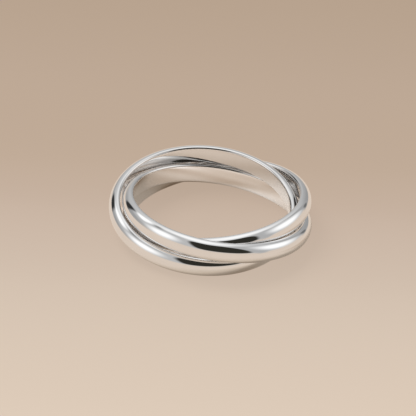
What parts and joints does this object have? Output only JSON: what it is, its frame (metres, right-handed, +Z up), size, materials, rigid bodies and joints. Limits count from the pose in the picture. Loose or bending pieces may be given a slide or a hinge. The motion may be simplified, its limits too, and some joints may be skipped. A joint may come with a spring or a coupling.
{
  "type": "trio ring",
  "caption": "Finger ring of linked half-round bands that roll through one another, laid flat like a short rope.",
  "frame": {"origin": "middle of the ring's footprint, on the surface that it lies on", "axes": "+Z up out of the surface, along the finger; +X to the right and +Y away in the picture's view"},
  "size_m": [0.0226, 0.0228, 0.0052],
  "materials": {
    "polished_silver": "mirror-polished white metal, sterling silver"
  },
  "bodies": {
    "left_band": {"left_band": "polished_silver"},
    "front_band": {"front_band": "polished_silver"},
    "back_band": {"back_band": "polished_silver"}
  },
  "joints": [
    {"name": "front_band_roll", "type": "hinge", "parent": "left_band", "child": "front_band", "pos_m": [0.00071, -0.00075, 0.00259], "axis": [0.1195, 0.0934, 0.9884], "continuous": true},
    {"name": "back_band_roll", "type": "hinge", "parent": "left_band", "child": "back_band", "pos_m": [0.00059, 0.00073, 0.00246], "axis": [-0.1194, 0.069, 0.9904], "continuous": true}
  ]
}
